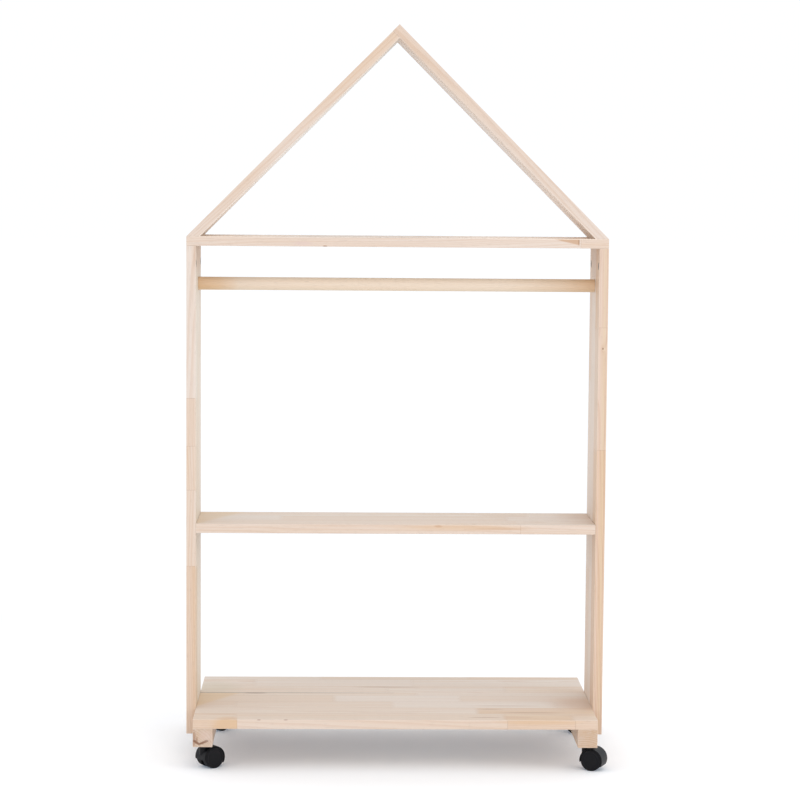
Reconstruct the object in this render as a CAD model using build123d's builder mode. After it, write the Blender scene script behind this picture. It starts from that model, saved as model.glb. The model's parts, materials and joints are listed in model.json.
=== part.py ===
from build123d import *
import os
from math import cos, radians, sin, sqrt

# Rolling clothes rack: a house-shaped pine frame on four twin-wheel swivel casters.
# Millimetres. X runs from the left post to the right post, Y from front to back, Z up.
# The origin is on the floor, under the middle of the bottom deck.

os.makedirs("parts", exist_ok=True)

# --- Driving dimensions: boards -------------------------------------------------------

WIDTH = 800.0           # over the outside of both posts
BOARD = 18.0            # thickness of every board
FRAME_DEPTH = 170.0     # posts, rail, rafters and middle shelf, front to back
FRAME_Y = -20.0         # middle of the posts, a little in front of the deck's middle
DECK_DEPTH = 400.0
DECK_JOINT_Y = 42.0     # glue line between the two boards of the deck
RAIL_TOP = 1005.0
ROD_Z = 913.0
ROD_DIAMETER = 25.0
SHELF_TOP = 458.0
DECK_TOP = 100.0
RUNNER_WIDTH = 37.0
RUNNER_HEIGHT = 35.0
POST_FOOT = 51.0        # the posts stop a little above the runners' underside
EASED_EDGE = 1.0        # rounding of the boards' sawn edges

# --- Driving dimensions: fasteners ----------------------------------------------------

CAM_SETBACK = 34.0      # cam centre to the end of its board
CAM_HOLE_RADIUS = 7.5
CAM_RADIUS = 7.3
CAM_DEPTH = 13.0
BOLT_THREAD_RADIUS = 2.9
BOLT_THREAD_LENGTH = 10.5
BOLT_COLLAR_RADIUS = 3.6
BOLT_SHANK_RADIUS = 2.1
BOLT_HEAD_RADIUS = 3.1
BOLT_CHANNEL_RADIUS = 4.0
DOWEL_RADIUS = 4.0
DOWEL_IN_FACE = 11.0    # part of a dowel that sits in a board's face
DOWEL_IN_END = 19.0     # part of a dowel that sits in a board's end
SCREW_HEAD_RADIUS = 4.2
SCREW_SHANK_RADIUS = 2.2
LONG_SCREW = 50.0
FOOT_SCREW = 28.0
HOLE_PLAY = 0.05        # radial play of a screw in its hole
HOLE_EXTRA = 0.5        # a blind hole is this much deeper than what it holds

# --- Driving dimensions: casters ------------------------------------------------------

WHEEL_RADIUS = 20.0
WHEEL_INNER = 4.6       # wheel's inner and outer faces, from the caster's middle plane
WHEEL_OUTER = 17.6
HUB_RADIUS = 5.0
TRAIL = 15.0            # axle behind the swivel axis
FRONT_PIVOT_INSET = 32.0    # swivel axis to the front end of the runner
BACK_PIVOT_INSET = 56.0     # swivel axis to the back end of the runner
AXLE_RADIUS = 2.0
STEM_RADIUS = 4.0
RUNNING_PLAY = 0.05     # radial play of turning pins in their bores
HOOD_INNER_RADIUS = 20.9
HOOD_OUTER_RADIUS = 22.4
HOOD_HALF_WIDTH = 17.0
HOOD_FROM = -30.0       # hood's ends, in degrees up from the trailing side
HOOD_TO = 190.0
WEB_HALF_WIDTH = 3.6
COLLAR_RADIUS = 13.0
COLLAR_HEIGHT = 2.6
BOSS_RADIUS = 8.0
SOCKET_RADIUS = 5.5
SOCKET_FLANGE_RADIUS = 8.0
SOCKET_FLANGE = 1.0
SOCKET_DEPTH = 29.0
SWIVEL_GAP = 0.3

# --- Worked out from them -------------------------------------------------------------

SIDES = (-1, 1)
OUTER_X = WIDTH / 2
INNER_X = OUTER_X - BOARD                   # the posts' inner faces
POST_X = OUTER_X - BOARD / 2
POST_TOP = RAIL_TOP - BOARD
APEX_Z = RAIL_TOP + OUTER_X                 # the roof rises at 45 degrees
DECK_FRONT = -DECK_DEPTH / 2
DECK_BACK = DECK_DEPTH / 2
DECK_UNDERSIDE = DECK_TOP - BOARD
RUNNER_X = INNER_X - RUNNER_WIDTH / 2
RUNNER_BOTTOM = DECK_UNDERSIDE - RUNNER_HEIGHT
ROD_RADIUS = ROD_DIAMETER / 2
FRAME_PLANE = Plane.XZ.offset(-FRAME_Y)     # vertical plane through the posts' middle


def finish(piece, node):
    """Label a finished piece and write it as its own node."""
    piece.part.label = node
    export_step(piece.part, f"parts/{node}.step")


# --- Places of the fasteners ----------------------------------------------------------
# A plane's origin is at the head of a screw, on the face of a cam, or on the joint face
# that a bolt or dowel crosses. Its normal points out of the board that is drilled first.

RAIL_CAM_YS = [FRAME_Y + side * 68.0 for side in SIDES]
SHELF_CAM_YS = [FRAME_Y + side * 60.0 for side in SIDES]
FRAME_DOWEL_YS = [FRAME_Y + side * 25.0 for side in SIDES]
FOOT_SCREW_YS = [FRAME_Y + side * 45.0 for side in SIDES]
APEX_SCREW_YS = [FRAME_Y + side * 50.0 for side in SIDES]
DECK_DOWEL_YS = [FRAME_Y + side * 50.0 for side in SIDES]
RUNNER_SCREW_YS = [-120.0, -10.0, 100.0]
FOOT_SCREW_X = OUTER_X - 13.0

SHELF_MIDDLE = SHELF_TOP - BOARD / 2
DECK_MIDDLE = DECK_TOP - BOARD / 2
RUNNER_MIDDLE = RUNNER_BOTTOM + RUNNER_HEIGHT / 2
APEX_DROP = BOARD / 2 / sqrt(2)             # half a board's thickness, down a 45 degree slope

rail_bolts = {
    side: [Plane((side * POST_X, y, POST_TOP), z_dir=(0, 0, 1)) for y in RAIL_CAM_YS]
    for side in SIDES
}
rail_cams = {
    side: [
        Plane((side * INNER_X, y, POST_TOP - CAM_SETBACK), x_dir=(0, 0, 1), z_dir=(-side, 0, 0))
        for y in RAIL_CAM_YS
    ]
    for side in SIDES
}
rail_dowels = {
    side: [Plane((side * POST_X, y, POST_TOP), z_dir=(0, 0, 1)) for y in FRAME_DOWEL_YS]
    for side in SIDES
}
shelf_bolts = {
    side: [Plane((side * INNER_X, y, SHELF_MIDDLE), z_dir=(side, 0, 0)) for y in SHELF_CAM_YS]
    for side in SIDES
}
shelf_cams = {
    side: [
        Plane(
            (side * (INNER_X - CAM_SETBACK), y, SHELF_TOP - BOARD),
            x_dir=(side, 0, 0),
            z_dir=(0, 0, -1),
        )
        for y in SHELF_CAM_YS
    ]
    for side in SIDES
}
shelf_dowels = {
    side: [Plane((side * INNER_X, y, SHELF_MIDDLE), z_dir=(side, 0, 0)) for y in FRAME_DOWEL_YS]
    for side in SIDES
}
deck_dowels = {
    side: [Plane((side * INNER_X, y, DECK_MIDDLE), z_dir=(side, 0, 0)) for y in DECK_DOWEL_YS]
    for side in SIDES
}
foot_screws = {
    side: [Plane((side * FOOT_SCREW_X, y, POST_TOP), z_dir=(0, 0, -1)) for y in FOOT_SCREW_YS]
    for side in SIDES
}
rod_screws = {side: [Plane((side * OUTER_X, FRAME_Y, ROD_Z), z_dir=(side, 0, 0))] for side in SIDES}
post_screws = {
    side: [
        Plane((side * (INNER_X - RUNNER_WIDTH), y, RUNNER_MIDDLE), z_dir=(-side, 0, 0))
        for y in DECK_DOWEL_YS
    ]
    for side in SIDES
}
deck_screws = {
    side: [Plane((side * RUNNER_X, y, RUNNER_BOTTOM), z_dir=(0, 0, -1)) for y in RUNNER_SCREW_YS]
    for side in SIDES
}
apex_screws = [Plane((APEX_DROP, y, APEX_Z - APEX_DROP), z_dir=(1, 0, 1)) for y in APEX_SCREW_YS]

# The four swivel axes, by the caster's name: X side, Y side, and the way it trails at rest,
# in degrees from the X axis.
CASTERS = {
    "front_left": (-1, -1, 35.0),
    "front_right": (1, -1, -24.0),
    "back_left": (-1, 1, 45.0),
    "back_right": (1, 1, -25.0),
}
PIVOT_YS = {-1: DECK_FRONT + FRONT_PIVOT_INSET, 1: DECK_BACK - BACK_PIVOT_INSET}


def both(places):
    """The planes of the left and right side in one list."""
    return places[-1] + places[1]


def drill(planes, radius, depth):
    """Blind holes into the current piece, from the planes down."""
    with Locations(*planes):
        Hole(radius, depth)


def drill_screws(planes, length):
    """Countersunk holes for screws, in the board that carries their heads."""
    with Locations(*planes):
        CounterSinkHole(
            SCREW_SHANK_RADIUS + HOLE_PLAY,
            SCREW_HEAD_RADIUS + HOLE_PLAY,
            length + HOLE_EXTRA,
            counter_sink_angle=90,
        )


def drill_screw_tips(planes, length):
    """The screws' holes on into the second board."""
    drill(planes, SCREW_SHANK_RADIUS + HOLE_PLAY, length + HOLE_EXTRA)


def drill_cams(cams, bolts):
    """Cam pockets, and the channels that lead to them from the board's end."""
    drill(cams, CAM_HOLE_RADIUS, CAM_DEPTH + HOLE_EXTRA)
    drill(bolts, BOLT_CHANNEL_RADIUS, CAM_SETBACK)


def drill_bolt_threads(bolts):
    """Pilot holes for the cam bolts, in the face of the other board."""
    drill([-plane for plane in bolts], BOLT_THREAD_RADIUS, BOLT_THREAD_LENGTH + HOLE_EXTRA)


def drill_dowels_in_end(planes):
    drill(planes, DOWEL_RADIUS, DOWEL_IN_END + HOLE_EXTRA)


def drill_dowels_in_face(planes):
    drill([-plane for plane in planes], DOWEL_RADIUS, DOWEL_IN_FACE + HOLE_EXTRA)


# --- Posts ----------------------------------------------------------------------------


def make_post(side, node):
    """An upright board, with cam pockets for the rail on its inner face."""
    with BuildPart() as post:
        with BuildSketch(Plane.XY.offset(POST_FOOT)):
            with Locations((side * POST_X, FRAME_Y)):
                Rectangle(BOARD, FRAME_DEPTH)
        extrude(amount=POST_TOP - POST_FOOT)
        fillet(post.edges(), EASED_EDGE)
        drill_cams(rail_cams[side], rail_bolts[side])
        drill_dowels_in_end(rail_dowels[side])
        drill_bolt_threads(shelf_bolts[side])
        drill_dowels_in_face(shelf_dowels[side])
        drill_dowels_in_face(deck_dowels[side])
        drill_screws(rod_screws[side], LONG_SCREW)
        drill_screw_tips(post_screws[side], LONG_SCREW)
    finish(post, node)


make_post(-1, "left_post")
make_post(1, "right_post")

# --- Eave rail ------------------------------------------------------------------------

with BuildPart() as eave_rail:
    with BuildSketch(Plane.XY.offset(POST_TOP)):
        with Locations((0, FRAME_Y)):
            Rectangle(WIDTH, FRAME_DEPTH)
    extrude(amount=BOARD)
    fillet(eave_rail.edges(), EASED_EDGE)
    drill_bolt_threads(both(rail_bolts))
    drill_dowels_in_face(both(rail_dowels))
    drill_screws(both(foot_screws), FOOT_SCREW)
finish(eave_rail, "eave_rail")

# --- Rafters --------------------------------------------------------------------------
# Both stand on the rail's ends on a 45 degree bevel. The right one runs through to the
# apex, and the left one butts square against its underside.

SLOPED_BOARD = BOARD * sqrt(2)              # a rafter's thickness, measured level
BUTT_STEP = BOARD / sqrt(2)                 # how far the apex joint is down the slope


def make_rafter(outline, node, drill_rafter):
    """A board standing on the given front outline."""
    with BuildPart() as rafter:
        with BuildSketch(FRAME_PLANE):
            with BuildLine():
                Polyline(*outline, close=True)
            make_face()
        extrude(amount=FRAME_DEPTH / 2, both=True)
        fillet(rafter.edges().filter_by(lambda edge: edge.length > OUTER_X), EASED_EDGE)
        drill_rafter()
    finish(rafter, node)


def drill_left_rafter():
    drill_screw_tips(foot_screws[-1], FOOT_SCREW)
    drill_screw_tips(apex_screws, LONG_SCREW)


def drill_right_rafter():
    drill_screw_tips(foot_screws[1], FOOT_SCREW)
    drill_screws(apex_screws, LONG_SCREW)


make_rafter(
    [
        (-OUTER_X, RAIL_TOP),
        (-BUTT_STEP, APEX_Z - BUTT_STEP),
        (0, APEX_Z - 2 * BUTT_STEP),
        (-OUTER_X + SLOPED_BOARD, RAIL_TOP),
    ],
    "left_rafter",
    drill_left_rafter,
)
make_rafter(
    [
        (OUTER_X, RAIL_TOP),
        (0, APEX_Z),
        (-BUTT_STEP, APEX_Z - BUTT_STEP),
        (OUTER_X - SLOPED_BOARD, RAIL_TOP),
    ],
    "right_rafter",
    drill_right_rafter,
)

# --- Clothes rod ----------------------------------------------------------------------

with BuildPart() as clothes_rod:
    with BuildSketch(Plane.YZ.offset(-INNER_X)):
        with Locations((FRAME_Y, ROD_Z)):
            Circle(ROD_RADIUS)
    extrude(amount=2 * INNER_X)
    chamfer(clothes_rod.edges(), EASED_EDGE / 2)
    drill_screw_tips(both(rod_screws), LONG_SCREW)
finish(clothes_rod, "clothes_rod")

# --- Middle shelf ---------------------------------------------------------------------

with BuildPart() as middle_shelf:
    with BuildSketch(Plane.XY.offset(SHELF_TOP - BOARD)):
        with Locations((0, FRAME_Y)):
            Rectangle(2 * INNER_X, FRAME_DEPTH)
    extrude(amount=BOARD)
    fillet(middle_shelf.edges(), EASED_EDGE)
    drill_cams(both(shelf_cams), both(shelf_bolts))
    drill_dowels_in_end(both(shelf_dowels))
finish(middle_shelf, "middle_shelf")

# --- Bottom deck: two boards glued edge to edge ---------------------------------------


def make_deck_board(front, back, node, has_dowels):
    """A deck board from front to back, eased everywhere but along the glue line."""
    with BuildPart() as deck_board:
        with BuildSketch(Plane.XY.offset(DECK_UNDERSIDE)):
            with Locations((0, (front + back) / 2)):
                Rectangle(2 * INNER_X, back - front)
        extrude(amount=BOARD)
        fillet(
            deck_board.edges().filter_by(
                lambda edge: abs(edge.center().Y - DECK_JOINT_Y) > EASED_EDGE
            ),
            EASED_EDGE,
        )
        if has_dowels:
            drill_dowels_in_end(both(deck_dowels))
        drill_screw_tips(both(deck_screws), LONG_SCREW)
    finish(deck_board, node)


make_deck_board(DECK_FRONT, DECK_JOINT_Y, "deck_front_board", True)
make_deck_board(DECK_JOINT_Y, DECK_BACK, "deck_back_board", False)

# --- Runners under the deck's ends ----------------------------------------------------


def make_runner(side, node):
    """A batten, front to back, with a caster socket bored near each end."""
    socket_seats = [
        Plane((side * RUNNER_X, PIVOT_YS[end], RUNNER_BOTTOM), z_dir=(0, 0, -1)) for end in SIDES
    ]
    with BuildPart() as runner:
        with BuildSketch(Plane.XY.offset(RUNNER_BOTTOM)):
            with Locations((side * RUNNER_X, 0)):
                Rectangle(RUNNER_WIDTH, DECK_DEPTH)
        extrude(amount=RUNNER_HEIGHT)
        fillet(runner.edges(), EASED_EDGE)
        drill(socket_seats, SOCKET_RADIUS, SOCKET_DEPTH)
        drill_screws(deck_screws[side], LONG_SCREW)
        drill_screws(post_screws[side], LONG_SCREW)
    finish(runner, node)


make_runner(-1, "left_runner")
make_runner(1, "right_runner")

# --- Fasteners ------------------------------------------------------------------------

RECESS_WIDTH = 1.0
RECESS_DEPTH = 1.8


def make_group(single, planes, node):
    """One node for identical fasteners: a separate solid at every plane."""
    with BuildPart() as group:
        with Locations(*planes):
            add(single.part)
    finish(group, node)


def cut_cross_recess(span):
    """The cross that a screwdriver turns, in a head whose top is at Z = 0."""
    top_of_box = (Align.CENTER, Align.CENTER, Align.MAX)
    Box(span, RECESS_WIDTH, RECESS_DEPTH, align=top_of_box, mode=Mode.SUBTRACT)
    Box(RECESS_WIDTH, span, RECESS_DEPTH, align=top_of_box, mode=Mode.SUBTRACT)


def make_screw(length):
    """A countersunk wood screw, head at Z = 0 and tip down."""
    neck = SCREW_HEAD_RADIUS - SCREW_SHANK_RADIUS
    tip = 3 * SCREW_SHANK_RADIUS
    with BuildPart() as screw:
        with BuildSketch(Plane.XZ):
            with BuildLine():
                Polyline(
                    (0, 0),
                    (SCREW_HEAD_RADIUS, 0),
                    (SCREW_SHANK_RADIUS, -neck),
                    (SCREW_SHANK_RADIUS, tip - length),
                    (0, -length),
                    close=True,
                )
            make_face()
        revolve(axis=Axis.Z)
        cut_cross_recess(1.2 * SCREW_HEAD_RADIUS)
    return screw


CAM_BACK_CLEARANCE = 0.3

with BuildPart() as cam_lock:
    with BuildSketch(Plane.XY):
        Circle(CAM_RADIUS)
    extrude(amount=-CAM_DEPTH)
    with BuildSketch(Plane.YZ.offset(-BOLT_HEAD_RADIUS)):
        with Locations((0, -BOARD / 2)):
            Circle(BOLT_HEAD_RADIUS + CAM_BACK_CLEARANCE)
    extrude(amount=2 * CAM_RADIUS, mode=Mode.SUBTRACT)
    cut_cross_recess(CAM_RADIUS)

BOLT_COLLAR = 2.0
BOLT_LEAD = 0.6
BOLT_HEAD_TOP = CAM_SETBACK - 1.0
BOLT_HEAD_END = CAM_SETBACK + 2.0

with BuildPart() as cam_bolt:
    with BuildSketch(Plane.XZ):
        with BuildLine():
            Polyline(
                (0, BOLT_THREAD_LENGTH),
                (BOLT_THREAD_RADIUS - BOLT_LEAD, BOLT_THREAD_LENGTH),
                (BOLT_THREAD_RADIUS, BOLT_THREAD_LENGTH - BOLT_LEAD),
                (BOLT_THREAD_RADIUS, 0),
                (BOLT_COLLAR_RADIUS, 0),
                (BOLT_COLLAR_RADIUS, -BOLT_COLLAR),
                (BOLT_SHANK_RADIUS, -BOLT_COLLAR),
                (BOLT_SHANK_RADIUS, -BOLT_HEAD_TOP),
                (BOLT_HEAD_RADIUS, -BOLT_HEAD_TOP),
                (BOLT_HEAD_RADIUS, -BOLT_HEAD_END),
                (0, -BOLT_HEAD_END),
                close=True,
            )
        make_face()
    revolve(axis=Axis.Z)

with BuildPart() as dowel:
    with BuildSketch(Plane.XY.offset(-DOWEL_IN_END)):
        Circle(DOWEL_RADIUS)
    extrude(amount=DOWEL_IN_END + DOWEL_IN_FACE)
    chamfer(dowel.edges().filter_by(GeomType.CIRCLE), EASED_EDGE)

long_screw = make_screw(LONG_SCREW)
foot_screw = make_screw(FOOT_SCREW)

make_group(cam_lock, both(rail_cams), "rail_cam_locks")
make_group(cam_bolt, both(rail_bolts), "rail_cam_bolts")
make_group(dowel, both(rail_dowels), "rail_dowels")
make_group(cam_lock, both(shelf_cams), "shelf_cam_locks")
make_group(cam_bolt, both(shelf_bolts), "shelf_cam_bolts")
make_group(dowel, both(shelf_dowels), "shelf_dowels")
make_group(dowel, both(deck_dowels), "deck_dowels")
make_group(foot_screw, both(foot_screws), "rafter_foot_screws")
make_group(long_screw, apex_screws, "apex_screws")
make_group(long_screw, both(rod_screws), "rod_screws")
make_group(long_screw, both(post_screws), "post_runner_screws")
make_group(long_screw, both(deck_screws), "deck_runner_screws")

# --- Casters --------------------------------------------------------------------------
# Each is drawn in its own frame: X the way it trails at rest, Y along its axle.

STEM_FOOT = 38.0
STEM_TOP = RUNNER_BOTTOM + 27.0
GROOVE_RADIUS = 3.2
GROOVE_TOP = STEM_TOP - 4.0
GROOVE_WIDTH = 3.0
COLLAR_TOP = RUNNER_BOTTOM - SOCKET_FLANGE - SWIVEL_GAP
COLLAR_FOOT = COLLAR_TOP - COLLAR_HEIGHT
BOSS_FOOT = 26.0
AXLE_HALF_LENGTH = 14.6
DISC = 1.9              # thickness of a wheel's face disc
DISC_RECESS = 0.7       # how far the disc lies inside the rim
RECESS_RADIUS = 15.6
RIM = 3.2               # thickness of the wheel's rim
TREAD_ROUNDING = 1.4


def make_socket(seat, node):
    """The sleeve in the runner that the stem turns in, with a flange below."""
    with BuildPart() as socket:
        with BuildSketch(seat.offset(RUNNER_BOTTOM - SOCKET_FLANGE)):
            Circle(SOCKET_FLANGE_RADIUS)
        extrude(amount=SOCKET_FLANGE)
        with BuildSketch(seat.offset(RUNNER_BOTTOM)):
            Circle(SOCKET_RADIUS)
        extrude(amount=SOCKET_DEPTH)
        with BuildSketch(seat.offset(RUNNER_BOTTOM - SOCKET_FLANGE)):
            Circle(STEM_RADIUS + RUNNING_PLAY)
        extrude(amount=STEM_TOP - RUNNER_BOTTOM + SOCKET_FLANGE + HOLE_EXTRA, mode=Mode.SUBTRACT)
    finish(socket, node)


def make_stem(seat, node):
    """The steel pin, with a groove near its top for the grip ring."""
    with BuildPart() as stem:
        with BuildSketch(seat.offset(STEM_FOOT)):
            Circle(STEM_RADIUS)
        extrude(amount=STEM_TOP - STEM_FOOT)
        chamfer(stem.faces().sort_by(Axis.Z)[-1].edges(), EASED_EDGE)
        with BuildSketch(seat.offset(GROOVE_TOP)):
            Circle(STEM_RADIUS)
            Circle(GROOVE_RADIUS, mode=Mode.SUBTRACT)
        extrude(amount=-GROOVE_WIDTH, mode=Mode.SUBTRACT)
    finish(stem, node)


def make_grip_ring(seat, node):
    """A split spring ring in the stem's groove, which holds it in the socket."""
    with BuildPart() as ring:
        with BuildSketch(seat.offset(GROOVE_TOP)):
            Circle(STEM_RADIUS)
            Circle(GROOVE_RADIUS, mode=Mode.SUBTRACT)
            with Locations((STEM_RADIUS, 0)):
                Rectangle(STEM_RADIUS, STEM_RADIUS / 2, mode=Mode.SUBTRACT)
        extrude(amount=-GROOVE_WIDTH)
    finish(ring, node)


def make_housing(seat, side_plane, node):
    """Collar and boss for the stem, the hood over both wheels, and the web between them."""
    with BuildPart() as housing:
        with BuildSketch(seat.offset(BOSS_FOOT)):
            Circle(BOSS_RADIUS)
        extrude(amount=COLLAR_FOOT - BOSS_FOOT)
        with BuildSketch(seat.offset(COLLAR_FOOT)):
            Circle(COLLAR_RADIUS)
        extrude(amount=COLLAR_HEIGHT)
        with BuildSketch(side_plane):
            Circle(HOOD_INNER_RADIUS)
        extrude(amount=COLLAR_RADIUS, both=True, mode=Mode.SUBTRACT)
        with BuildSketch(side_plane):
            with BuildLine():
                outer = CenterArc((0, 0), HOOD_OUTER_RADIUS, HOOD_FROM, HOOD_TO - HOOD_FROM)
                inner = CenterArc((0, 0), HOOD_INNER_RADIUS, HOOD_FROM, HOOD_TO - HOOD_FROM)
                Line(outer @ 0, inner @ 0)
                Line(outer @ 1, inner @ 1)
            make_face()
        extrude(amount=HOOD_HALF_WIDTH, both=True)
        with BuildSketch(side_plane):
            with BuildLine():
                CenterArc((0, 0), HOOD_INNER_RADIUS + 0.5, 0, 180)
                Line((-HOOD_INNER_RADIUS - 0.5, 0), (HOOD_INNER_RADIUS + 0.5, 0))
            make_face()
            Circle(HUB_RADIUS + 1)
        extrude(amount=WEB_HALF_WIDTH, both=True)
        with BuildSketch(side_plane):
            Circle(AXLE_RADIUS)
        extrude(amount=WEB_HALF_WIDTH, both=True, mode=Mode.SUBTRACT)
        with BuildSketch(seat.offset(STEM_FOOT)):
            Circle(STEM_RADIUS)
        extrude(amount=COLLAR_TOP - STEM_FOOT, mode=Mode.SUBTRACT)
    finish(housing, node)


def make_axle(side_plane, node):
    with BuildPart() as axle:
        with BuildSketch(side_plane):
            Circle(AXLE_RADIUS)
        extrude(amount=AXLE_HALF_LENGTH, both=True)
        chamfer(axle.edges().filter_by(GeomType.CIRCLE), AXLE_RADIUS / 5)
    finish(axle, node)


def make_wheel(wheel_plane, node):
    """A moulded wheel: hub with a blind bore, face disc and a wide rim, open inwards."""
    disc_outer = WHEEL_OUTER - DISC_RECESS
    disc_inner = disc_outer - DISC
    bore = AXLE_RADIUS + RUNNING_PLAY
    with BuildPart() as wheel:
        with BuildSketch(wheel_plane):
            with BuildLine():
                Polyline(
                    (0, disc_outer),
                    (RECESS_RADIUS - DISC_RECESS, disc_outer),
                    (RECESS_RADIUS, WHEEL_OUTER),
                    (WHEEL_RADIUS, WHEEL_OUTER),
                    (WHEEL_RADIUS, WHEEL_INNER),
                    (WHEEL_RADIUS - RIM, WHEEL_INNER),
                    (WHEEL_RADIUS - RIM, disc_inner),
                    (HUB_RADIUS, disc_inner),
                    (HUB_RADIUS, WHEEL_INNER),
                    (bore, WHEEL_INNER),
                    (bore, disc_inner),
                    (0, disc_inner),
                    close=True,
                )
            make_face()
        revolve(axis=Axis(wheel_plane.origin, wheel_plane.y_dir))
        rim_edges = wheel.edges().filter_by(GeomType.CIRCLE).group_by(lambda e: e.radius)[-1]
        fillet(rim_edges, TREAD_ROUNDING)
    finish(wheel, node)


def make_caster(name, x_side, y_side, trail_angle):
    """All the pieces of one caster, turned to the way it trails at rest."""
    trail_way = Vector(cos(radians(trail_angle)), sin(radians(trail_angle)), 0)
    pivot = Vector(x_side * RUNNER_X, PIVOT_YS[y_side], 0)
    axle_centre = pivot + trail_way * TRAIL + Vector(0, 0, WHEEL_RADIUS)
    axle_way = Vector(0, 0, 1).cross(trail_way)
    seat = Plane(pivot, x_dir=trail_way, z_dir=(0, 0, 1))
    side_plane = Plane(axle_centre, x_dir=trail_way, z_dir=-axle_way)
    make_socket(seat, f"{name}_caster_socket")
    make_stem(seat, f"{name}_caster_stem")
    make_grip_ring(seat, f"{name}_caster_grip_ring")
    make_housing(seat, side_plane, f"{name}_caster_housing")
    make_axle(side_plane, f"{name}_caster_axle")
    for hand, way in (("left", -1), ("right", 1)):
        wheel_plane = Plane(axle_centre, x_dir=(0, 0, 1), z_dir=trail_way * way)
        make_wheel(wheel_plane, f"{name}_caster_{hand}_wheel")


for caster_name, caster_place in CASTERS.items():
    make_caster(caster_name, *caster_place)
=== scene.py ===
import json
from math import cos, radians, sin

import bpy
from mathutils import Matrix, Vector

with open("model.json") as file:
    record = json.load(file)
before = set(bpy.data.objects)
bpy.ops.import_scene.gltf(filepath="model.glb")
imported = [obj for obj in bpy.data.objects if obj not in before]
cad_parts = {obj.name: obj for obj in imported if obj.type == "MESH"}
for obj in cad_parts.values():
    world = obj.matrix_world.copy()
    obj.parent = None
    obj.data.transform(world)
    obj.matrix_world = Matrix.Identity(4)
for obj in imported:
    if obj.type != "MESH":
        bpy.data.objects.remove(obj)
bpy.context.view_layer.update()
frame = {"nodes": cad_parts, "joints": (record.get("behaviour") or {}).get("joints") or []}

# Rolling clothes rack: looks, lights and camera. Metres, in the frame of the CAD model:
# X from the left post to the right post, Y from front to back, Z up from the floor.

nodes = frame["nodes"]

X, Y, Z = Vector((1, 0, 0)), Vector((0, 1, 0)), Vector((0, 0, 1))


def srgb(red, green, blue):
    """Linear colour of an sRGB one given in 0 to 255."""
    parts = [c / 255 for c in (red, green, blue)]
    return [p / 12.92 if p <= 0.04045 else ((p + 0.055) / 1.055) ** 2.4 for p in parts] + [1.0]


# --- Building node trees --------------------------------------------------------------


class Tree:
    """Adds nodes to a node tree. An input takes a socket, or a number or tuple to set."""

    def __init__(self, tree):
        self.tree = tree

    def put(self, socket, value):
        if isinstance(value, bpy.types.NodeSocket):
            self.tree.links.new(value, socket)
        else:
            socket.default_value = value

    def add(self, kind, inputs=(), **settings):
        node = self.tree.nodes.new(kind)
        for name, value in settings.items():
            setattr(node, name, value)
        for name, value in dict(inputs).items():
            self.put(node.inputs[name], value)
        return node

    def math(self, operation, *values, clamp=False):
        inputs = dict(enumerate(values))
        node = self.add("ShaderNodeMath", inputs, operation=operation, use_clamp=clamp)
        return node.outputs[0]

    def vector(self, operation, *values, output=0, scale=None):
        inputs = dict(enumerate(values))
        if scale is not None:
            inputs["Scale"] = scale
        return self.add("ShaderNodeVectorMath", inputs, operation=operation).outputs[output]

    def dot(self, a, b):
        return self.vector("DOT_PRODUCT", a, b, output="Value")

    def xyz(self, vector):
        return self.add("ShaderNodeSeparateXYZ", {0: vector}).outputs

    def join(self, x, y, z):
        return self.add("ShaderNodeCombineXYZ", {0: x, 1: y, 2: z}).outputs[0]

    def step(self, value, low, high, to_low=0.0, to_high=1.0):
        """Smooth step of value from low to high; low may be the larger one."""
        if low > high:
            low, high, to_low, to_high = high, low, to_high, to_low
        inputs = {0: value, 1: low, 2: high, 3: to_low, 4: to_high}
        node = self.add("ShaderNodeMapRange", inputs, interpolation_type="SMOOTHSTEP")
        return node.outputs[0]

    def noise(self, vector, scale, detail=2.0, roughness=0.5):
        inputs = {"Vector": vector, "Scale": scale, "Detail": detail, "Roughness": roughness}
        return self.add("ShaderNodeTexNoise", inputs).outputs["Fac"]

    def mix(self, factor, a, b, blend="MIX"):
        node = self.add("ShaderNodeMix", data_type="RGBA", blend_type=blend)
        self.put(node.inputs[0], factor)
        self.put(node.inputs[6], a)
        self.put(node.inputs[7], b)
        return node.outputs[2]

    def blend(self, factor, a, b):
        """Plain number between a and b."""
        return self.add("ShaderNodeMix", {0: factor, 2: a, 3: b}).outputs[0]


def new_material(name):
    """A material with its tree, its shader node and the object's own coordinates."""
    material = bpy.data.materials.new(name)
    material.use_nodes = True
    tree = Tree(material.node_tree)
    shader = material.node_tree.nodes["Principled BSDF"]
    return material, tree, shader, tree.add("ShaderNodeTexCoord").outputs["Object"]


def assign(node, material):
    slots = nodes[node].data.materials
    slots.clear()
    slots.append(material)


def bumped(tree, shader, height, strength, distance):
    inputs = {"Height": height, "Strength": strength, "Distance": distance}
    tree.put(shader.inputs["Normal"], tree.add("ShaderNodeBump", inputs).outputs[0])


# --- Pine -----------------------------------------------------------------------------

RELIEF = 0.00006        # height of the fibres, and of the grain of the plastic
RING_WIDTH = 0.0022     # the narrowest growth rings
RING_SPREAD = 0.0026    # what the widest ones have more
BROAD_WANDER = 0.014    # how far the rings stray, in slow waves and in small ones
FINE_WANDER = 0.0010
TILT_ACROSS = 0.10      # the whole range of a pith's slope against the board
TILT_THROUGH = 0.07
GLUE_GAP = 3.0          # how deep a glue line is set in, in reliefs
WOOD_GLOSS = 0.35       # Specular IOR Level

PALE = srgb(221, 206, 194)
TAN = srgb(215, 188, 165)
ORANGE = srgb(212, 178, 142)
LATEWOOD = srgb(196, 158, 128)
GLUE_LINE = srgb(150, 112, 82)
WORN_EDGE_AND_HIGHLIGHT = srgb(238, 227, 216)
KNOT = srgb(128, 88, 60)


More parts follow.
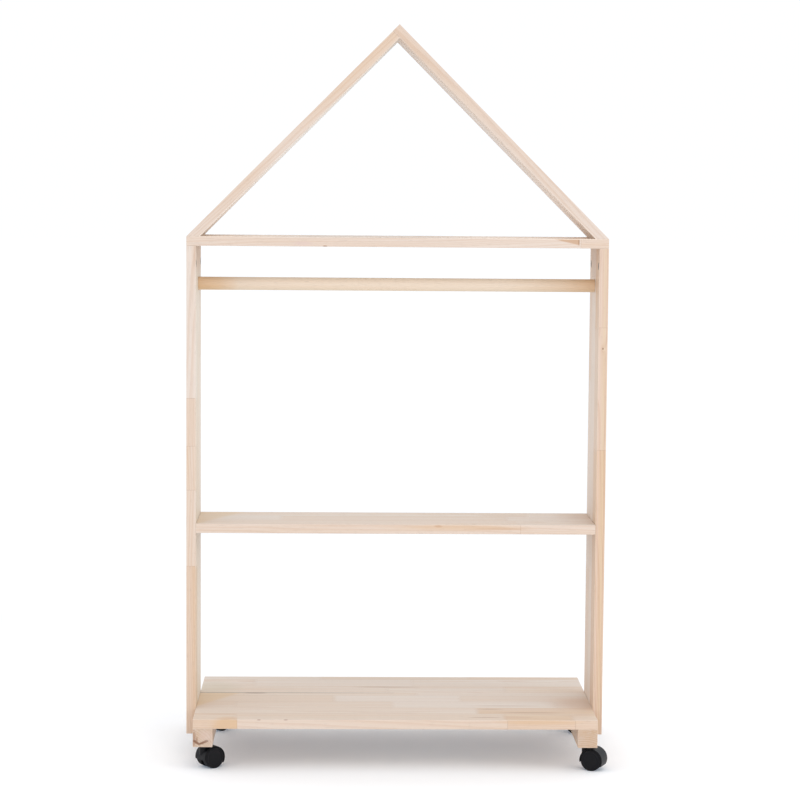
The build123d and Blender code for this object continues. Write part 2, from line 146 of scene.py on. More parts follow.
def make_wood_group():
    """One block of wood, as a solid.

    Board gives a point along the grain, across the board and through it. Seed is the
    block's own three numbers: they place its pith, tilt it and set the width of its rings.
    """
    group = bpy.data.node_groups.new("wood_block", "ShaderNodeTree")
    face = group.interface
    for name, kind in (
        ("Board", "NodeSocketVector"),
        ("Seed", "NodeSocketVector"),
        ("Tone", "NodeSocketFloat"),
        ("Hue", "NodeSocketFloat"),
        ("Bend", "NodeSocketFloat"),
        ("Contrast", "NodeSocketFloat"),
        ("End Grain", "NodeSocketFloat"),
    ):
        face.new_socket(name, in_out="INPUT", socket_type=kind)
    for name, kind in (
        ("Color", "NodeSocketColor"),
        ("Roughness", "NodeSocketFloat"),
        ("Height", "NodeSocketFloat"),
    ):
        face.new_socket(name, in_out="OUTPUT", socket_type=kind)
    tree = Tree(group)
    given = tree.add("NodeGroupInput").outputs
    board, seed = given["Board"], given["Seed"]
    place = tree.vector("ADD", board, tree.vector("SCALE", seed, scale=9.0))

    def stretched(along, across, detail=2.0, roughness=0.5):
        return tree.noise(
            tree.vector("MULTIPLY", place, (along, across, across)), 1.0, detail, roughness
        )

    # Growth rings around the block's pith, which lies outside most of the boards.
    length, width, depth = tree.xyz(board)
    random_a, random_b, random_c = tree.xyz(seed)
    tilt_w = tree.math("MULTIPLY", tree.math("SUBTRACT", random_c, 0.5), TILT_ACROSS)
    tilt_t = tree.math("MULTIPLY", tree.math("SUBTRACT", random_a, 0.5), TILT_THROUGH)
    pith_w = tree.math("MULTIPLY_ADD", random_a, 0.16, -0.02)
    pith_t = tree.math("MULTIPLY_ADD", random_b, -0.09, -0.025)
    off_w = tree.math("SUBTRACT", width, pith_w)
    off_w = tree.math("SUBTRACT", off_w, tree.math("MULTIPLY", length, tilt_w))
    off_t = tree.math("SUBTRACT", depth, pith_t)
    off_t = tree.math("SUBTRACT", off_t, tree.math("MULTIPLY", length, tilt_t))
    radius = tree.vector("LENGTH", tree.join(off_w, off_t, 0.0), output="Value")
    wander = tree.math("MULTIPLY_ADD", stretched(2.6, 16), BROAD_WANDER, -BROAD_WANDER / 2)
    ripple = tree.math("MULTIPLY_ADD", stretched(7, 90), FINE_WANDER, -FINE_WANDER / 2)
    moved = tree.math("ADD", ripple, given["Bend"])
    radius = tree.math("ADD", tree.math("ADD", radius, wander), moved)
    spacing = tree.math("MULTIPLY_ADD", random_c, RING_SPREAD, RING_WIDTH)
    years = tree.math("DIVIDE", radius, spacing)
    uneven = tree.noise(tree.join(tree.math("MULTIPLY", years, 0.35), random_a, 0.0), 1.0, 1.0)
    phase = tree.math("FRACT", tree.math("ADD", years, tree.math("MULTIPLY", uneven, 2.2)))
    late = tree.math("MULTIPLY", tree.step(phase, 0.35, 0.92), tree.step(phase, 1.0, 0.94))

    # Broad streaks, narrow streaks and fibres, all drawn out along the grain.
    broad = stretched(1.3, 42, 2.0, 0.6)
    narrow = stretched(3.0, 210, 2.0, 0.6)
    fibre = stretched(42, 1500, 1.0)
    tint = stretched(0.9, 26, 1.0)
    ducts = tree.step(stretched(70, 1100, 0.0), 0.70, 0.76)

    streaks = tree.math("MULTIPLY_ADD", broad, 1.3, tree.math("MULTIPLY_ADD", narrow, 0.6, -0.95))
    mixing = tree.math("MULTIPLY_ADD", streaks, given["Contrast"], given["Tone"], clamp=True)
    warm = tree.math("MULTIPLY_ADD", tint, 1.4, tree.math("ADD", given["Hue"], -0.7), clamp=True)
    colour = tree.mix(mixing, PALE, tree.mix(warm, TAN, ORANGE))
    strength = tree.math("MULTIPLY_ADD", given["Tone"], 0.30, 0.20)
    strength = tree.math("MULTIPLY_ADD", given["End Grain"], 0.15, strength)
    strength = tree.math("MULTIPLY", strength, given["Contrast"])
    colour = tree.mix(tree.math("MULTIPLY", late, strength, clamp=True), colour, LATEWOOD)
    shade = tree.math("MULTIPLY_ADD", fibre, 0.10, 0.95)
    shade = tree.math("MULTIPLY_ADD", ducts, -0.10, shade)
    shade = tree.math("MULTIPLY_ADD", given["End Grain"], -0.14, shade)
    colour = tree.mix(1.0, colour, tree.join(shade, shade, shade), "MULTIPLY")

    rough = tree.math("MULTIPLY_ADD", fibre, 0.16, 0.52)
    rough = tree.math("MULTIPLY_ADD", late, -0.07, rough)
    height = tree.math("MULTIPLY_ADD", late, 0.5, tree.math("MULTIPLY", fibre, 0.6))
    height = tree.math("MULTIPLY_ADD", ducts, -0.8, height)
    result = tree.add("NodeGroupOutput").inputs
    tree.put(result["Color"], colour)
    tree.put(result["Roughness"], rough)
    tree.put(result["Height"], height)
    return group


wood_group = make_wood_group()


def extent(node, axis):
    reach = [vertex.co.dot(axis) for vertex in nodes[node].data.vertices]
    return min(reach), max(reach)


def block_ramp(tree, position, blocks, interpolation):
    """Numbers that change from block to block: red, green and blue of a stepped ramp."""
    ramp = tree.add("ShaderNodeValToRGB", {0: position})
    ramp.color_ramp.interpolation = interpolation
    stops = ramp.color_ramp.elements
    for number, (start, values) in enumerate(blocks):
        if number < 2:
            stop = stops[number]
            stop.position = start
        else:
            stop = stops.new(start)
        stop.color = (*values, 1.0)
    return ramp.outputs[0]


def stain_mask(tree, board, centre, reach, strength=1.0, ragged=0.5, wedge=False, soft=0.5,
               before=None):
    """How much of a stain shows: an ellipsoid of that reach round centre, or a wedge.

    before cuts it off sharply at a place along the grain. soft is the width of its
    fading edge, and ragged how far the fibres draw that edge out.
    """
    off = tree.vector("DIVIDE", tree.vector("SUBTRACT", board, tuple(centre)), tuple(reach))
    if wedge:
        off = tree.vector("ABSOLUTE", off)
        spread = tree.dot(off, (1.0, 1.0, 1.0))
    else:
        spread = tree.vector("LENGTH", off, output="Value")
    fibres = tree.noise(tree.vector("MULTIPLY", board, (30, 300, 300)), 1.0, 1.0)
    spread = tree.math("MULTIPLY_ADD", tree.math("SUBTRACT", fibres, 0.5), ragged, spread)
    mask = tree.step(spread, 1.0 + soft / 2, 1.0 - soft / 2, 0.0, strength)
    if before is not None:
        along = tree.xyz(board)[0]
        mask = tree.math("MULTIPLY", mask, tree.math("LESS_THAN", along, before))
    return mask


def stain(centre, reach, colour, **looks):
    """A stain's colour, with what stain_mask needs for its shape."""
    return colour, {"centre": centre, "reach": reach, **looks}


JOINT = 0.00035         # half the width of a glue line
FINGER = 0.005          # half the length of a finger joint's fingers
FINGER_PITCH = 0.0038


def own_number(count, stave_number, seed):
    """A block's own number, from 0 to 1, for its figure."""
    return (count * 0.37 + stave_number * 0.21 + seed * 0.13) % 1.0


def pine(node, grain, across, through, rows, stave=0.0567, seed=1.0, tone=0.25, hue=0.3,
         contrast=1.0, faces=(1.0, 1.045, 1.06), tint=(1.0, 1.0, 1.0),
         knots=(), stains=(), chunk=0.33, square_ends=True, smooth=False):
    """Edge-glued, finger-jointed pine. grain, across and through are the board's axes.

    rows gives the blocks of some staves, by number from the low side of across, as
    (start along the grain, tone, hue). The other staves are divided at random. Knots,
    stains and cracks are in board coordinates: along, across, through. A knot is
    (point, direction, radius). faces tints the wide faces, and tint the whole board. In a
    smooth board the given blocks run into each other, with no joints between them.
    """
    material, tree, shader, position = new_material(f"{node}_pine")
    normal = tree.add("ShaderNodeTexCoord").outputs["Normal"]
    spans = [extent(node, axis) for axis in (grain, across, through)]
    start = Vector(span[0] for span in spans)
    sizes = [span[1] - span[0] for span in spans]
    board = tree.join(*(tree.dot(position, tuple(axis)) for axis in (grain, across, through)))
    board = tree.vector("SUBTRACT", board, tuple(start))
    length, width, depth = tree.xyz(board)
    ins = [
        tree.math("MINIMUM", place, tree.math("SUBTRACT", size, place))
        for place, size in zip((length, width, depth), sizes)
    ]

    # Which stave a point is in, and how far it is from the glue lines.
    stave_place = tree.math("DIVIDE", width, stave)
    stave_number = tree.math("FLOOR", stave_place)
    to_glue = tree.math("MULTIPLY", tree.math("PINGPONG", stave_place, 0.5), stave)
    inside = tree.math("GREATER_THAN", ins[1], JOINT * 4)
    line = tree.math("MULTIPLY", tree.step(to_glue, JOINT * 1.6, JOINT * 0.6), inside)

    # Fingers cut through the wide faces, so the narrow edges show a straight joint.
    zigzag = tree.math("PINGPONG", width, FINGER_PITCH / 2)
    zigzag = tree.math("MULTIPLY", zigzag, FINGER * 4 / FINGER_PITCH)
    length_cut = tree.math("ADD", length, zigzag)

    # Random blocks, one row of them for each stave.
    row = tree.math("MULTIPLY_ADD", stave_number, 13.37, seed * 7.1)
    cell = tree.math("ADD", tree.math("DIVIDE", length_cut, chunk), row)
    cells = tree.add("ShaderNodeTexVoronoi", {"W": cell, "Scale": 1.0}, voronoi_dimensions="1D")
    edge = tree.add(
        "ShaderNodeTexVoronoi", {"W": cell, "Scale": 1.0},
        voronoi_dimensions="1D", feature="DISTANCE_TO_EDGE",
    )
    to_joint = tree.math("MULTIPLY", edge.outputs["Distance"], chunk)
    joint = tree.step(to_joint, JOINT * 1.5, JOINT * 0.5)
    block_seed = cells.outputs["Color"]
    random_b, random_c = tree.xyz(block_seed)[1:]
    block_tone = tree.math("MULTIPLY_ADD", random_b, 0.5, tone - 0.25)
    block_hue = tree.math("MULTIPLY_ADD", random_c, 0.6, hue - 0.3)

    # The placed blocks.
    along = tree.math("DIVIDE", length if smooth else length_cut, sizes[0])
    beyond = tree.math("DIVIDE", tree.math("ADD", length_cut, JOINT * 2), sizes[0])
    for number, blocks in rows.items():
        stops = [
            (place / sizes[0], (tone_here, hue_here, own_number(count, number, seed)))
            for count, (place, tone_here, hue_here) in enumerate(blocks)
        ]
        placed = tree.xyz(block_ramp(tree, along, stops, "LINEAR" if smooth else "CONSTANT"))
        own = 0.13 * (seed % 7.0) if smooth else placed[2]
        own_seed = tree.join(
            own, tree.math("FRACT", tree.math("MULTIPLY", own, 5.3)),
            tree.math("FRACT", tree.math("MULTIPLY", own, 9.7)),
        )
        here = tree.math("COMPARE", stave_number, float(number), 0.1)
        if number == 0:
            here = tree.math("MAXIMUM", here, tree.math("LESS_THAN", width, stave / 2))
        block_seed = tree.mix(here, block_seed, own_seed)
        block_tone = tree.blend(here, block_tone, placed[0])
        block_hue = tree.blend(here, block_hue, placed[1])
        if smooth:
            joint = tree.blend(here, joint, 0.0)
        else:
            following = tree.xyz(block_ramp(tree, beyond, stops, "CONSTANT"))[2]
            change = tree.math("ABSOLUTE", tree.math("SUBTRACT", following, placed[2]))
            joint = tree.blend(here, joint, tree.math("GREATER_THAN", change, 0.01))

    # Knots, with the grain bent round them.
    bend = 0.0
    knot_mask = 0.0
    for point, direction, radius in knots:
        way = Vector(direction).normalized()
        off = tree.vector("SUBTRACT", board, tuple(point))
        off = tree.vector("MULTIPLY", off, (0.55, 1.0, 1.0))
        axial = tree.dot(off, tuple(way))
        aside = tree.vector("SUBTRACT", off, tree.vector("SCALE", tuple(way), scale=axial))
        distance = tree.vector("LENGTH", aside, output="Value")
        rugged = tree.math("MULTIPLY_ADD", tree.noise(board, 420, 2.0), radius * 0.9, distance)
        core = tree.step(rugged, radius * 1.5, radius * 0.9)
        knot_mask = tree.math("MAXIMUM", knot_mask, core)
        pull = tree.math("EXPONENT", tree.math("MULTIPLY", distance, -0.55 / radius))
        bend = tree.math("MULTIPLY_ADD", pull, radius * 2.2, bend)

    end_grain = tree.step(tree.math("ABSOLUTE", tree.dot(normal, tuple(grain))), 0.55, 0.8)
    wide_face = tree.step(tree.math("ABSOLUTE", tree.dot(normal, tuple(through))), 0.5, 0.8)
    block = tree.add("ShaderNodeGroup", node_tree=wood_group)
    for name, value in (
        ("Board", board), ("Seed", block_seed), ("Tone", block_tone), ("Hue", block_hue),
        ("Bend", bend), ("Contrast", contrast), ("End Grain", end_grain),
    ):
        tree.put(block.inputs[name], value)
    colour = block.outputs["Color"]
    colour = tree.mix(wide_face, colour, tree.mix(1.0, colour, (*faces, 1.0), "MULTIPLY"))
    if knots:
        colour = tree.mix(knot_mask, colour, KNOT)
    for stain_colour, shape in stains:
        colour = tree.mix(stain_mask(tree, board, **shape), colour, stain_colour)

    # Glue lines and finger joints are a little darker and set in.
    line = tree.math("MAXIMUM", line, joint)
    line = tree.math("MULTIPLY", line, tree.math("MULTIPLY_ADD", tree.noise(board, 90), 0.5, 0.15))
    colour = tree.mix(line, colour, GLUE_LINE)

    # Eased edges, rubbed smoother; the paler colour along them is partly wear and partly a painted
    # highlight on the arrises.
    to_edge = tree.math("MAXIMUM", ins[1], ins[2])
    if square_ends:
        to_edge = tree.math("MINIMUM", to_edge, tree.math("MAXIMUM", ins[0], ins[1]))
        to_edge = tree.math("MINIMUM", to_edge, tree.math("MAXIMUM", ins[0], ins[2]))
    edge_wear_and_highlight = tree.math("MULTIPLY_ADD", tree.noise(board, 160), 0.0012, to_edge)
    edge_wear_and_highlight = tree.step(edge_wear_and_highlight, 0.0022, 0.0006)
    colour = tree.mix(tree.math("MULTIPLY", edge_wear_and_highlight, 0.25), colour, WORN_EDGE_AND_HIGHLIGHT)
    colour = tree.mix(1.0, colour, (*tint, 1.0), "MULTIPLY")

    tree.put(shader.inputs["Base Color"], colour)
    rough = tree.math("MULTIPLY_ADD", end_grain, 0.14, block.outputs["Roughness"])
    tree.put(shader.inputs["Roughness"], tree.math("MULTIPLY_ADD", edge_wear_and_highlight, -0.06, rough))
    shader.inputs["Specular IOR Level"].default_value = WOOD_GLOSS
    height = tree.math("MULTIPLY_ADD", line, -GLUE_GAP, block.outputs["Height"])
    bumped(tree, shader, height, 0.3, RELIEF)
    assign(node, material)


PINK = srgb(214, 190, 180)
PAINTED_LIGHT_PALE = srgb(238, 221, 205)
# PAINTED_LIGHT_PALE is painted light: it brightens the rail's top and the rafters' undersides near
# the rafters' feet, where they shade each other.
YELLOW = srgb(216, 194, 158)
YELLOW_TAN = srgb(214, 186, 146)
GREENISH = srgb(200, 190, 168)
# HEARTWOOD_AND_SHADE: heartwood marks on the shelf, and painted shade below the rail on the posts'
# inner faces.
HEARTWOOD_AND_SHADE = srgb(190, 148, 112)
TAN_STREAK = srgb(198, 162, 132)
JOINT_GAP = srgb(62, 42, 30)
DARK_STREAK = srgb(165, 128, 100)
CRACK = srgb(140, 90, 62)
BARK = srgb(118, 76, 50)

# A post's board coordinates: up from its foot, back from its front edge, and through it.
pine("left_post", Z, Y, -X, {
    0: [(0.0, 0.85, 0.35), (0.324, 0.36, 0.2), (0.47, 0.42, 0.4), (0.555, 0.36, 0.2),
        (0.645, 0.1, 0.1)],
}, seed=1.0, tone=0.2, hue=0.2, faces=(1.0, 1.07, 1.06), stains=[
    # A brown patch at the top of the inner face, just below the rail, is painted shade.
    stain((0.93, 0.08, 0.0), (0.045, 0.09, 0.006), HEARTWOOD_AND_SHADE, strength=0.45, soft=1.2),
])
pine("right_post", Z, Y, X, {
    0: [(0.0, 0.9, 0.3), (0.55, 0.65, 0.3), (0.785, 0.85, 0.4)],
}, seed=3.0, tone=0.2, hue=0.2, faces=(0.99, 1.01, 1.01), stains=[
    stain((0.5, 0.0, 0.0115), (0.8, 0.01, 0.0016), YELLOW, strength=0.35, soft=1.4, ragged=1.2),
    stain((0.5, 0.0, 0.0035), (0.8, 0.01, 0.0012), PINK, strength=0.4, soft=1.4, ragged=1.2),
    stain((0.5, 0.0, 0.0150), (0.8, 0.01, 0.0005), DARK_STREAK, strength=0.25, soft=1.4,
          ragged=1.4),
    # A brown patch at the top of the inner face, just below the rail, is painted shade.
    stain((0.93, 0.08, 0.0), (0.05, 0.09, 0.006), HEARTWOOD_AND_SHADE, strength=0.35, soft=1.2),
], knots=[((0.746, 0.0, 0.009), (0.0, 1.0, 0.2), 0.0016)])

# The rail, shelf and deck: to the right from the left end, back from the front edge, up.
pine("eave_rail", X, Y, Z, {
    0: [(0.0, 0.2, 0.1), (0.744, 0.35, 0.4)],
}, seed=5.0, tone=0.3, stains=[
    stain((0.748, 0.0, 0.018), (0.056, 0.05, 0.013), TAN_STREAK, strength=0.9, wedge=True, soft=0.2,
          ragged=0.15, before=0.7435),
    stain((0.7425, 0.0, 0.012), (0.0012, 0.05, 0.006), DARK_STREAK, strength=0.75, soft=0.6),
    stain((0.22, 0.0, 0.006), (0.016, 0.01, 0.004), PINK, strength=0.6, soft=1.0),
    # The two pale patches on the top near both ends are painted light, where the rafters' feet
    # shade the rail's top.
    stain((0.70, 0.09, 0.018), (0.20, 0.2, 0.0016), PAINTED_LIGHT_PALE, strength=0.75, soft=0.6),
    stain((0.06, 0.09, 0.018), (0.14, 0.2, 0.0016), PAINTED_LIGHT_PALE, strength=0.6, soft=0.6),
    stain((0.262, 0.0, 0.001), (0.004, 0.004, 0.0012), DARK_STREAK, strength=0.9, soft=0.5),
])
pine("middle_shelf", X, Y, Z, {
    0: [(0.0, 0.42, 0.2), (0.620, 0.4, 0.25)],
}, seed=7.0, tone=0.3, contrast=0.85, stains=[
    stain((0.0, 0.17, 0.018), (0.085, 0.17, 0.02), YELLOW_TAN, strength=0.5, wedge=True, soft=0.3,
          ragged=0.2),
    stain((0.50, 0.0, 0.0125), (0.105, 0.02, 0.005), ORANGE, strength=0.5, soft=1.4),
    stain((0.575, 0.0, 0.010), (0.05, 0.02, 0.0018), TAN_STREAK, strength=0.5, soft=1.2),
    stain((0.463, 0.0, 0.0150), (0.007, 0.01, 0.0022), HEARTWOOD_AND_SHADE, strength=0.5, soft=1.0),
    stain((0.764, 0.13, 0.018), (0.05, 0.06, 0.006), HEARTWOOD_AND_SHADE, strength=0.35, soft=1.4),
])
pine("deck_front_board", X, Y, Z, {
    0: [(0.0, 0.7, 0.25), (0.0835, 0.42, 0.2), (0.591, 0.85, 0.35), (0.720, 0.72, 0.1)],
    1: [(0.0, 0.35, 0.15), (0.546, 0.72, 0.35)],
}, stave=0.054, seed=11.0, tone=0.38, hue=0.15, contrast=0.75, stains=[
    stain((0.068, 0.0, 0.007), (0.030, 0.028, 0.015), ORANGE, strength=0.8, soft=0.7,
          before=0.0835),
    stain((0.1245, 0.0, 0.0175), (0.0035, 0.003, 0.001), CRACK, strength=0.6, soft=0.8),
    stain((0.175, 0.0, 0.0175), (0.0040, 0.003, 0.001), CRACK, strength=0.6, soft=0.8),
    stain((0.655, 0.0, 0.014), (0.07, 0.02, 0.004), ORANGE, strength=0.5, soft=1.0),
    stain((0.0, 0.242, 0.018), (0.080, 0.124, 0.02), YELLOW_TAN, strength=0.6, wedge=True,
          soft=0.2, ragged=0.15),
    stain((0.755, 0.145, 0.018), (0.06, 0.05, 0.01), TAN_STREAK, strength=0.5, soft=1.2),
    stain((0.0, 0.242, 0.018), (0.42, 0.0018, 0.012), JOINT_GAP, strength=0.95, soft=0.5,
          ragged=0.3, before=0.384),
    stain((0.110, 0.2395, 0.018), (0.020, 0.0034, 0.012), BARK, strength=0.9, soft=0.6),
    stain((0.642, 0.065, 0.018), (0.055, 0.0022, 0.01), CRACK, strength=0.6, soft=0.8),
    stain((0.552, 0.024, 0.018), (0.03, 0.002, 0.01), DARK_STREAK, strength=0.7, soft=0.8),
    stain((0.592, 0.1255, 0.018), (0.06, 0.0018, 0.01), DARK_STREAK, strength=0.7, soft=0.8),
    stain((0.565, 0.095, 0.018), (0.022, 0.005, 0.01), DARK_STREAK, strength=0.3, soft=1.2),
])
pine("deck_back_board", X, Y, Z, {
    0: [(0.0, 0.4, 0.1), (0.374, 0.35, 0.15), (0.61, 0.5, 0.2)],
}, stave=0.065, seed=13.0, tone=0.36, hue=0.12, stains=[
    stain((0.02, 0.05, 0.018), (0.05, 0.05, 0.01), GREENISH, strength=0.5, soft=1.2),
    stain((0.37, 0.057, 0.018), (0.062, 0.0019, 0.01), CRACK, strength=0.75, soft=0.8),
    stain((0.0, 0.0, 0.018), (0.42, 0.0014, 0.012), JOINT_GAP, strength=0.95, soft=0.5, ragged=0.3,
          before=0.384),
])


def rafter(side, node, blocks, seed, faces, tint):
    """Up the slope from the foot, back from the front edge, and up through the board."""
    grain, through = Vector((-side, 0, 1)).normalized(), Vector((side, 0, 1)).normalized()
    pine(node, grain, Y, through, {0: blocks}, seed=seed, tone=0.15, hue=0.1, square_ends=False,
         faces=faces, tint=tint, smooth=True, contrast=0.8, stains=[
             # A pale layer on the underside near the foot is painted light, where the rail shades
             # the rafter.
             stain((0.0, 0.085, 0.0), (0.17, 0.2, 0.0016), PAINTED_LIGHT_PALE, strength=0.65, soft=1.2),
         ])


# The rafters' faces tints are painted light: they brighten both wide faces so that the undersides
# look lit from low at the sides, the left rafter's most strongly.
rafter(
    -1, "left_rafter",
    [(0.0, 0.4, 0.3), (0.16, 0.5, 0.35), (0.25, 0.3, 0.2), (0.40, 0.55, 0.35)],
    seed=17.0, faces=(1.15, 1.29, 1.38), tint=(0.99, 1.01, 1.035),
)
rafter(
    1, "right_rafter",
    [(0.0, 0.2, 0.25), (0.12, 0.35, 0.3), (0.32, 0.38, 0.3), (0.45, 0.5, 0.3)],
    seed=20.0, faces=(1.04, 1.07, 1.08), tint=(0.975, 0.985, 1.0),
)

# A runner's: back from its front end, out from its inner face, and up. The left one's end
# shows the dark trace of a branch, as spots along its path (out, up).
BRANCH = [
    (0.0335, 0.0115), (0.029, 0.0085), (0.0245, 0.0063),
    (0.0195, 0.0078), (0.015, 0.0098), (0.0112, 0.0118),
]
pine("left_runner", Y, -X, Z, {}, stave=0.04, seed=22.0, tone=0.78, hue=0.45, stains=[
    stain((0.0, 0.0345, 0.016), (0.02, 0.003, 0.015), CRACK, strength=0.5, soft=1.0, ragged=1.6),
    stain((0.0, 0.029, 0.014), (0.02, 0.0014, 0.006), CRACK, strength=0.6, soft=0.8),
    *(stain((0.0, out, up), (0.02, 0.0036, 0.0021), BARK, strength=0.8, soft=0.9)
      for out, up in BRANCH),
    stain((0.0, 0.012, 0.022), (0.02, 0.012, 0.010), PINK, strength=0.4, soft=1.2),
])
pine("right_runner", Y, X, Z, {}, stave=0.04, seed=24.0, tone=0.75, hue=0.55)

# The rod has no joints, only a slow change of colour along it.
pine("clothes_rod", X, Y, Z, {
    0: [(0.0, 1.0, 1.0), (0.040, 0.85, 0.9), (0.062, 0.6, 0.5), (0.078, 0.2, 0.7),
        (0.58, 0.15, 0.8), (0.64, 0.3, 0.9), (0.70, 0.5, 1.0), (0.765, 0.9, 1.0)],
}, stave=1.0, seed=29.0, contrast=0.5, square_ends=False, smooth=True, tint=(1.09, 1.07, 0.99))

# --- Metal and plastic ----------------------------------------------------------------

ZINC = srgb(146, 138, 128)
BRIGHT_PLATING = srgb(205, 205, 208)
BEECH, DARK_BEECH = srgb(206, 168, 128), srgb(172, 128, 88)
BLACK, SOFT_BLACK = (0.004, 0.004, 0.005, 1.0), (0.008, 0.0078, 0.010, 1.0)
DUST = srgb(120, 114, 108)
PLASTIC_GLOSS = 0.15                        # Specular IOR Level
TREAD_START, TREAD_END = 0.0185, 0.0198     # radii between which a wheel's tread begins


def make_metal(name, colour, roughness, scratch):
    material, tree, shader, position = new_material(name)
    cloud = tree.noise(position, 260, 3.0, 0.6)
    fine = tree.noise(tree.vector("MULTIPLY", position, (1.0, 1.0, 6.0)), 2400, 2.0)
    dark = [c * 0.62 for c in colour[:3]] + [1.0]       # where the plating is clouded
    tree.put(shader.inputs["Base Color"], tree.mix(tree.step(cloud, 0.35, 0.7), colour, dark))
    shader.inputs["Metallic"].default_value = 1.0
    rough = tree.math("MULTIPLY_ADD", cloud, 0.25, roughness)
    tree.put(shader.inputs["Roughness"], tree.math("MULTIPLY_ADD", fine, 0.12, rough))
    bumped(tree, shader, tree.math("ADD", fine, cloud), scratch, 0.00008)
    return material


zinc = make_metal("die_cast_zinc", ZINC, roughness=0.45, scratch=0.5)
plated_steel = make_metal("zinc_plated_steel", BRIGHT_PLATING, roughness=0.22, scratch=0.25)

dowel_wood, tree, shader, position = new_material("beech_dowel")
fleck = tree.noise(position, 900, 2.0)
tree.put(shader.inputs["Base Color"], tree.mix(fleck, BEECH, DARK_BEECH))
tree.put(shader.inputs["Roughness"], tree.math("MULTIPLY_ADD", fleck, 0.2, 0.5))
bumped(tree, shader, fleck, 0.3, 0.0001)


def make_plastic(name, axle_joint=None):
    """Black moulded nylon, grained by spark erosion, with a scuffed tread on a wheel."""
    material, tree, shader, position = new_material(name)
    grain = tree.noise(position, 2600, 2.0)
    cloud = tree.noise(position, 180, 2.0)
    colour = tree.mix(cloud, BLACK, SOFT_BLACK)
    rough = tree.math("MULTIPLY_ADD", grain, 0.18, 0.34)
    shader.inputs["Specular IOR Level"].default_value = PLASTIC_GLOSS
    if axle_joint:
        centre, axis = tuple(axle_joint["pos_m"]), tuple(axle_joint["axis"])
        off = tree.vector("SUBTRACT", position, centre)
        axial = tree.vector("SCALE", axis, scale=tree.dot(off, axis))
        aside = tree.vector("SUBTRACT", off, axial)
        out = tree.vector("LENGTH", aside, output="Value")
        tread = tree.step(out, TREAD_START, TREAD_END)
        dust = tree.math("MULTIPLY", tread, tree.step(tree.noise(position, 700, 3.0), 0.45, 0.75))
        colour = tree.mix(tree.math("MULTIPLY", dust, 0.1), colour, DUST)
        rough = tree.math("MULTIPLY_ADD", tread, 0.2, rough)
    tree.put(shader.inputs["Base Color"], colour)
    tree.put(shader.inputs["Roughness"], rough)
    bumped(tree, shader, grain, 0.3, RELIEF)
    return material


joints = {joint["name"]: joint for joint in frame["joints"]}
housing_plastic = make_plastic("black_nylon")
for caster in ("front_left", "front_right", "back_left", "back_right"):
    assign(f"{caster}_caster_housing", housing_plastic)
    for hand in ("left", "right"):
        spin = joints[f"{caster}_{hand}_spin"]
        assign(f"{caster}_caster_{hand}_wheel", make_plastic(f"{caster}_{hand}_wheel_nylon", spin))
    for piece in ("socket", "stem", "grip_ring", "axle"):
        assign(f"{caster}_caster_{piece}", plated_steel)
for name in nodes:
    if name.endswith("_dowels"):
        assign(name, dowel_wood)
    elif name.endswith("_cam_locks"):
        assign(name, zinc)
    elif name.endswith(("_screws", "_bolts")):
        assign(name, plated_steel)

# --- Floor and light ------------------------------------------------------------------

floor_mesh = bpy.data.meshes.new("floor")
FLOOR_REACH = 40.0
corners = [
    (x * FLOOR_REACH, y * FLOOR_REACH, 0.0) for x, y in ((-1, -1), (1, -1), (1, 1), (-1, 1))
]
floor_mesh.from_pydata(corners, [], [(0, 1, 2, 3)])
floor = bpy.data.objects.new("floor", floor_mesh)
bpy.context.scene.collection.objects.link(floor)
material, tree, shader, position = new_material("pale_floor")
# Near the rack it takes the light and the shadows. Far off it only glows, as pale as the
# studio.
NEAR_REACH, FAR_START = 0.9, 1.7
NEAR_BASE, FAR_BASE = (0.94, 0.908, 0.87, 1.0), (0.0, 0.0, 0.0, 1.0)
NEAR_GLOW, FAR_GLOW = (0.065, 0.094, 0.13, 1.0), (1.01, 1.03, 1.06, 1.0)
far = tree.step(tree.vector("LENGTH", position, output="Value"), NEAR_REACH, FAR_START)
tree.put(shader.inputs["Base Color"], tree.mix(far, NEAR_BASE, FAR_BASE))
tree.put(shader.inputs["Emission Color"], tree.mix(far, NEAR_GLOW, FAR_GLOW))
shader.inputs["Emission Strength"].default_value = 1.0
shader.inputs["Roughness"].default_value = 0.9
shader.inputs["Specular IOR Level"].default_value = 0.0
material.cycles.emission_sampling = "NONE"
# Seen from below, the floor is clear, so the rack's underside shows.
from_below = tree.add("ShaderNodeNewGeometry").outputs["Backfacing"]
clear = tree.add("ShaderNodeBsdfTransparent").outputs[0]
seen = tree.add("ShaderNodeMixShader", {0: from_below, 1: shader.outputs[0], 2: clear})
tree.put(material.node_tree.nodes["Material Output"].inputs["Surface"], seen.outputs[0])
floor_mesh.materials.append(material)

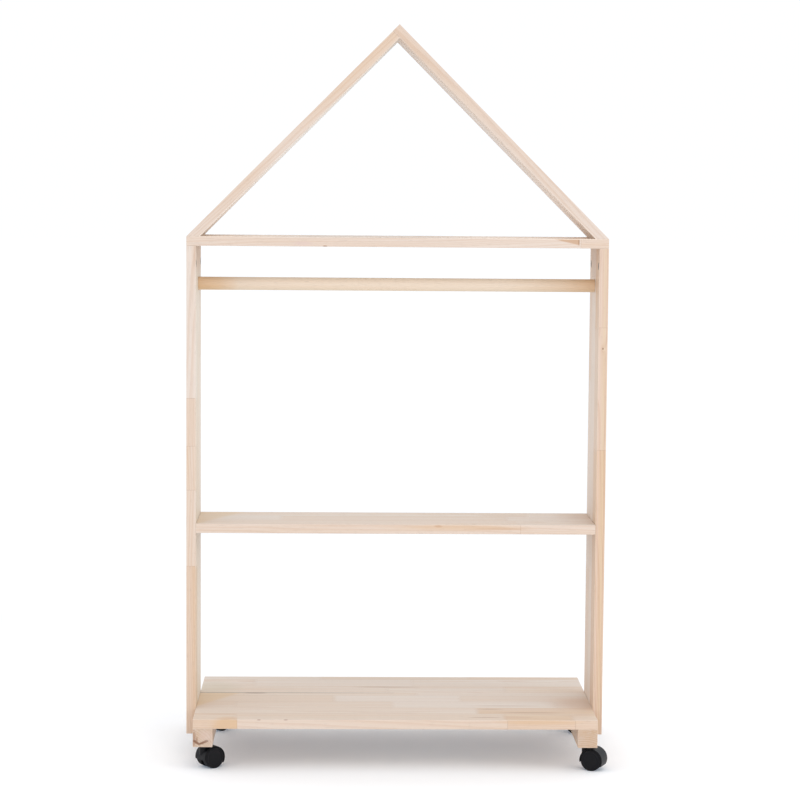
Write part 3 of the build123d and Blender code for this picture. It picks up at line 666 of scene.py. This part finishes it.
world = bpy.data.worlds.new("studio")
world.use_nodes = True
background = world.node_tree.nodes["Background"]
background.inputs["Color"].default_value = (1.0, 1.025, 1.065, 1.0)
background.inputs["Strength"].default_value = 1.0
bpy.context.scene.world = world

RACK_MIDDLE = Vector((0.0, 0.0, 0.6))


def softbox(name, place, size, power):
    light = bpy.data.lights.new(name, "AREA")
    light.shape = "SQUARE"
    light.size = size
    light.energy = power
    lamp = bpy.data.objects.new(name, light)
    lamp.location = place
    lamp.rotation_euler = (RACK_MIDDLE - Vector(place)).to_track_quat("-Z", "Y").to_euler()
    bpy.context.scene.collection.objects.link(lamp)


softbox("key_softbox", (0.6, -3.2, 3.8), 1.8, 20.5)
softbox("front_right_softbox", (3.0, -3.8, 1.4), 2.2, 6.0)
softbox("low_right_softbox", (3.4, -1.5, 1.15), 1.6, 20.0)
softbox("low_left_softbox", (-3.4, -1.5, 1.15), 1.6, 9.0)

# --- Camera ---------------------------------------------------------------------------

CAMERA_PLACE = Vector((-0.1047, -4.7084, 1.1119))
CAMERA_YAW = radians(1.375)         # to the right of straight back
CAMERA_PITCH = radians(-5.149)
CAMERA_ROLL = radians(0.446)
CAMERA_LENS = 109.41                # mm
SENSOR_WIDTH = 36.0                 # mm

ahead = Vector((
    sin(CAMERA_YAW) * cos(CAMERA_PITCH), cos(CAMERA_YAW) * cos(CAMERA_PITCH), sin(CAMERA_PITCH)
))
level_right = ahead.cross(Z).normalized()
level_up = level_right.cross(ahead)
right = level_right * cos(CAMERA_ROLL) + level_up * sin(CAMERA_ROLL)
up = level_up * cos(CAMERA_ROLL) - level_right * sin(CAMERA_ROLL)

camera = bpy.data.objects.new("camera", bpy.data.cameras.new("camera"))
camera.data.sensor_width = SENSOR_WIDTH
camera.data.lens = CAMERA_LENS
camera.data.clip_end = 200.0
turned = Matrix((right, up, -ahead)).transposed().to_4x4()
camera.matrix_world = Matrix.Translation(CAMERA_PLACE) @ turned
bpy.context.scene.collection.objects.link(camera)
bpy.context.scene.camera = camera
bpy.context.scene.view_settings.view_transform = "Standard"

# --- Update ---------------------------------------------------------------------------

bpy.context.view_layer.update()
